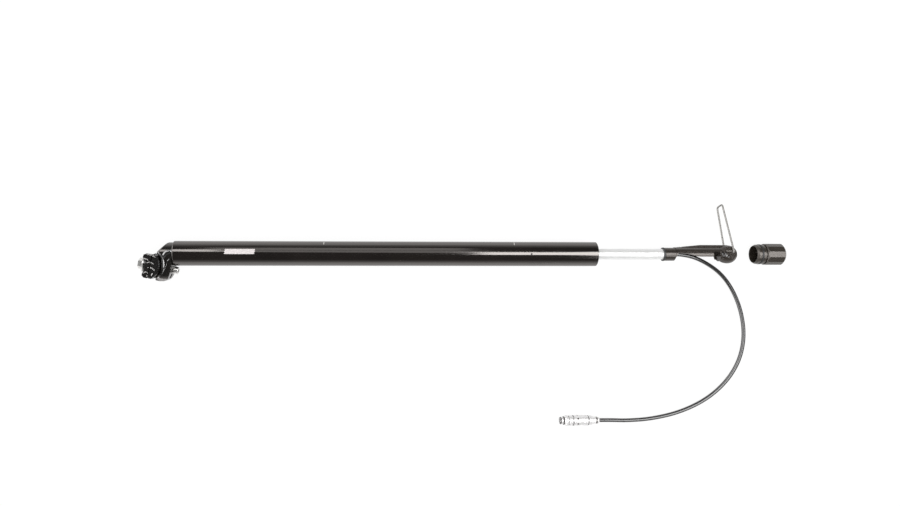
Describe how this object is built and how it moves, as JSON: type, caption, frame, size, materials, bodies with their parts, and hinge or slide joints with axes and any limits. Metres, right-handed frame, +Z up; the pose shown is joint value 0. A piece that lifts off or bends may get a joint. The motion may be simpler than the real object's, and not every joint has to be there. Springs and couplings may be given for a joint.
{
  "type": "seatpost with built-in pump",
  "caption": "Long straight bicycle seatpost with a set-back single-bolt saddle clamp and a hose pump that slides out of its lower end, with a wire footrest and an end cap.",
  "frame": {"origin": "centre of the tube's lower mouth, where the pump slides out", "axes": "+X along the post's axis out of its mouth, +Y towards the side that the footrest stands on, +Z up from the table that the post lies on, along the saddle clamp's tilt axis"},
  "size_m": [0.9041, 0.3161, 0.0541],
  "materials": {
    "post_black": "gloss black anodised tube",
    "head_black": "satin black forging",
    "clamp_black": "satin black",
    "plain_aluminium": "turned",
    "rod_aluminium": "polished",
    "chuck_aluminium": "polished, turned",
    "spring_steel": "satin",
    "zinc_steel": "zinc plated",
    "footrest_wire": "bright drawn wire",
    "brass": "turned",
    "foot_plastic": "moulded, satin",
    "cap_plastic": "moulded, satin",
    "hose_rubber": "smooth hose",
    "seal_rubber": "smooth"
  },
  "bodies": {
    "post": {"seatpost_tube": "post_black", "post_head": "head_black", "chamber_plug": "plain_aluminium", "chamber_plug_seal": "seal_rubber", "rod_guide": "plain_aluminium", "rod_guide_seal": "seal_rubber", "rod_wiper": "seal_rubber", "guide_circlip": "spring_steel", "rebound_bumper": "seal_rubber"},
    "saddle_clamp": {"lower_rail_cradle": "clamp_black", "upper_rail_plate": "clamp_black", "clamp_nut": "zinc_steel", "bolt_washer": "zinc_steel", "clamp_bolt": "zinc_steel"},
    "piston_ring": {"piston_seal": "seal_rubber"},
    "pump_rod": {"piston": "plain_aluminium", "outlet_valve": "seal_rubber", "pump_rod": "rod_aluminium", "collar_ring": "seal_rubber", "foot_body": "foot_plastic", "foot_end": "foot_plastic", "foot_pin": "spring_steel", "rod_pin": "spring_steel", "hose_grommet": "seal_rubber", "hose_tail": "hose_rubber", "hose_stopper": "brass", "stopper_seal": "seal_rubber", "air_hose": "hose_rubber", "hose_nut": "chuck_aluminium", "chuck_body": "chuck_aluminium"},
    "footrest": {"wire_footrest": "footrest_wire"},
    "chuck_sleeve": {"chuck_sleeve": "chuck_aluminium", "valve_gasket": "seal_rubber"},
    "end_cap": {"cap_sleeve": "cap_plastic", "cap_seal": "seal_rubber", "cap_grip": "cap_plastic"}
  },
  "joints": [
    {"name": "clamp_tilt", "type": "hinge", "parent": "post", "child": "saddle_clamp", "pos_m": [-0.616, -0.0152, 0], "axis": [0, 0, 1], "range_deg": [-14, 1]},
    {"name": "rod_slide", "type": "slide", "parent": "post", "child": "piston_ring", "axis": [1, 0, 0], "range_m": [-0.145, 0.145]},
    {"name": "rod_spin", "type": "hinge", "parent": "piston_ring", "child": "pump_rod", "pos_m": [0, 0, 0], "axis": [1, 0, 0], "continuous": true},
    {"name": "footrest_fold", "type": "hinge", "parent": "pump_rod", "child": "footrest", "pos_m": [0.1937, 0, 0], "axis": [0, 0.2672, 0.9636], "range_deg": [-6, 77.3]},
    {"name": "chuck_spin", "type": "hinge", "parent": "pump_rod", "child": "chuck_sleeve", "pos_m": [-0.0336, -0.2369, -0.01965], "axis": [1, 0, 0], "continuous": true},
    {"name": "cap_slide", "type": "slide", "parent": "piston_ring", "child": "end_cap", "axis": [1, 0, 0], "range_m": [-0.02, 0.1]}
  ]
}
